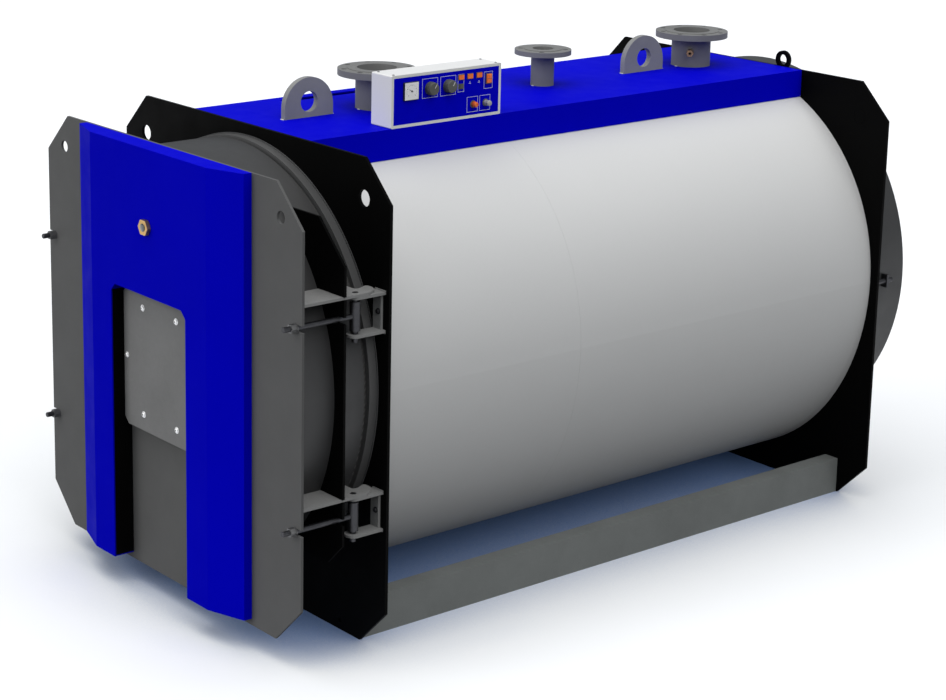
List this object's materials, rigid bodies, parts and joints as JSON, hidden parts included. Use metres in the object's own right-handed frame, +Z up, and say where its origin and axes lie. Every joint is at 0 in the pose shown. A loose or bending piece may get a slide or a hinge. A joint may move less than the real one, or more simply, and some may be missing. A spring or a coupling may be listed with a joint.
{
  "type": "industrial hot water boiler",
  "caption": "Horizontal shell hot water boiler on rails, with a hinged clamped front door, burner plate, top flanges, lifting lugs and a control box.",
  "frame": {"origin": "on the floor below the middle of the object's box", "axes": "-Y towards the front door, +Z up, +X to the right seen from the front"},
  "size_m": [1.36, 2.714, 1.6],
  "materials": {
    "black_paint": "satin black powder coat",
    "grey_paint": "matt dark grey heat-resistant paint",
    "dark_grey_paint": "matt dark heat-resistant paint",
    "light_grey_paint": "matt mid grey paint",
    "rail_paint": "matt grey-green primer",
    "white_casing": "satin white coated sheet",
    "blue_cover": "satin blue powder coat",
    "box_white": "satin white housing",
    "fascia_blue": "blue printed foil",
    "gauge_white": "white dial behind a clear window",
    "lamp_orange": "translucent orange plastic",
    "button_grey": "grey plastic",
    "knob_black": "matt black plastic with a white pointer",
    "brass": "turned brass",
    "zinc_steel": "zinc-plated steel",
    "dark_steel": "blackened steel",
    "primer_steel": "dark bare boiler plate",
    "rope_seal": "plaited graphited fibre rope",
    "refractory": "cast refractory"
  },
  "bodies": {
    "boiler": {"front_plate": "black_paint", "rear_plate": "black_paint", "skid_rails": "rail_paint", "boiler_shell": "primer_steel", "front_tube_plate": "primer_steel", "rear_tube_plate": "primer_steel", "furnace_tube": "primer_steel", "fire_tubes": "primer_steel", "front_collar": "dark_grey_paint", "door_gasket": "rope_seal", "casing_left": "white_casing", "casing_right": "white_casing", "top_cover": "blue_cover", "lifting_lugs": "light_grey_paint", "supply_nozzle": "light_grey_paint", "safety_nozzle": "light_grey_paint", "return_nozzle": "light_grey_paint", "thermowell": "brass", "control_box": "box_white", "control_fascia": "fascia_blue", "pressure_gauge": "gauge_white", "indicator_lamps": "lamp_orange", "power_switch": "lamp_orange", "reset_buttons": "button_grey", "smoke_box": "dark_grey_paint", "smoke_box_end": "dark_grey_paint", "flue_spigot": "dark_grey_paint", "smoke_box_clamps": "dark_steel", "rear_lifting_eyes": "black_paint", "hinge_brackets": "light_grey_paint", "latch_brackets": "light_grey_paint", "hinge_pins": "dark_steel"},
    "door": {"door_ring": "dark_grey_paint", "door_back_plate": "black_paint", "door_drum": "dark_grey_paint", "door_plate": "grey_paint", "door_refractory": "refractory", "burner_quarl": "refractory", "door_arms": "light_grey_paint", "swing_bolts": "dark_steel", "clamp_nuts": "zinc_steel", "latch_pins": "dark_steel", "door_cover": "blue_cover", "burner_frame": "grey_paint", "burner_blank": "light_grey_paint", "sight_glass": "brass"},
    "front_thermostat": {"knob_front": "knob_black"},
    "rear_thermostat": {"knob_rear": "knob_black"}
  },
  "joints": [
    {"name": "door_hinge", "type": "hinge", "parent": "boiler", "child": "door", "pos_m": [0.642, -1.073, 0.772], "axis": [0, 0, 1], "range_deg": [0, 110]},
    {"name": "front_knob_turn", "type": "hinge", "parent": "boiler", "child": "front_thermostat", "pos_m": [0.31, -0.535, 1.55], "axis": [1, 0, 0], "range_deg": [-105, 165]},
    {"name": "rear_knob_turn", "type": "hinge", "parent": "boiler", "child": "rear_thermostat", "pos_m": [0.31, -0.465, 1.55], "axis": [1, 0, 0], "range_deg": [-105, 165]}
  ]
}
